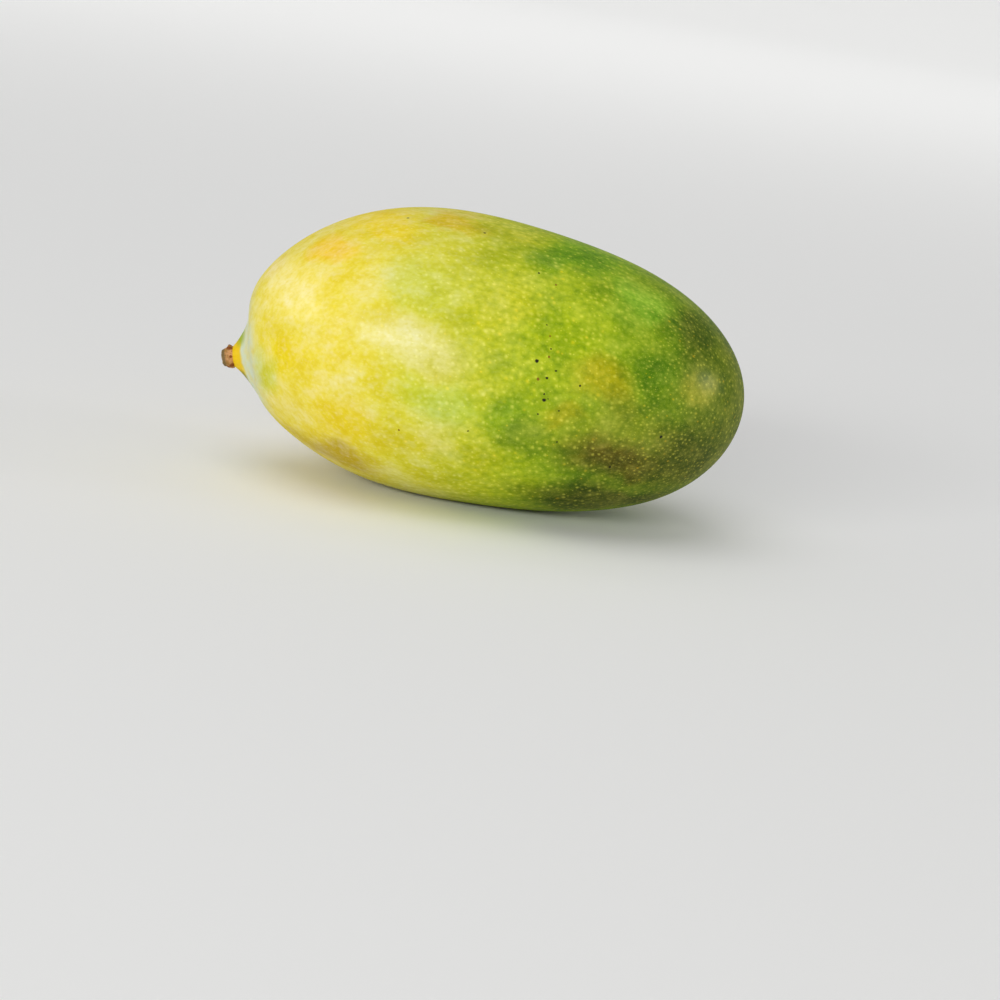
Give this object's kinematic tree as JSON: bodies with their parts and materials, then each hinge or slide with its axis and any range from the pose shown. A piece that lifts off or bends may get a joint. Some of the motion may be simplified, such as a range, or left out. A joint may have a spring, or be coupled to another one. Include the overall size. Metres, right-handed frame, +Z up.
{
  "type": "mango",
  "caption": "Whole ripening mango lying on its cheek, oblong with a raised nose that holds the cut woody stub of its stalk.",
  "frame": {"origin": "under the middle of the whole object, on the surface that the fruit rests on", "axes": "+Z up; +X along the fruit from the stalk to the tip; +Y across it, to the back"},
  "size_m": [0.1328, 0.0834, 0.0718],
  "materials": {
    "skin": "smooth waxy skin, satin gloss, yellow at the stalk end turning to green at the tip, with fine pale dots",
    "stalk": "dry bark with dark scabs and a pale ring round a hollow pith on the cut end"
  },
  "bodies": {
    "root": {"fruit": "skin", "stem": "stalk"}
  },
  "joints": []
}
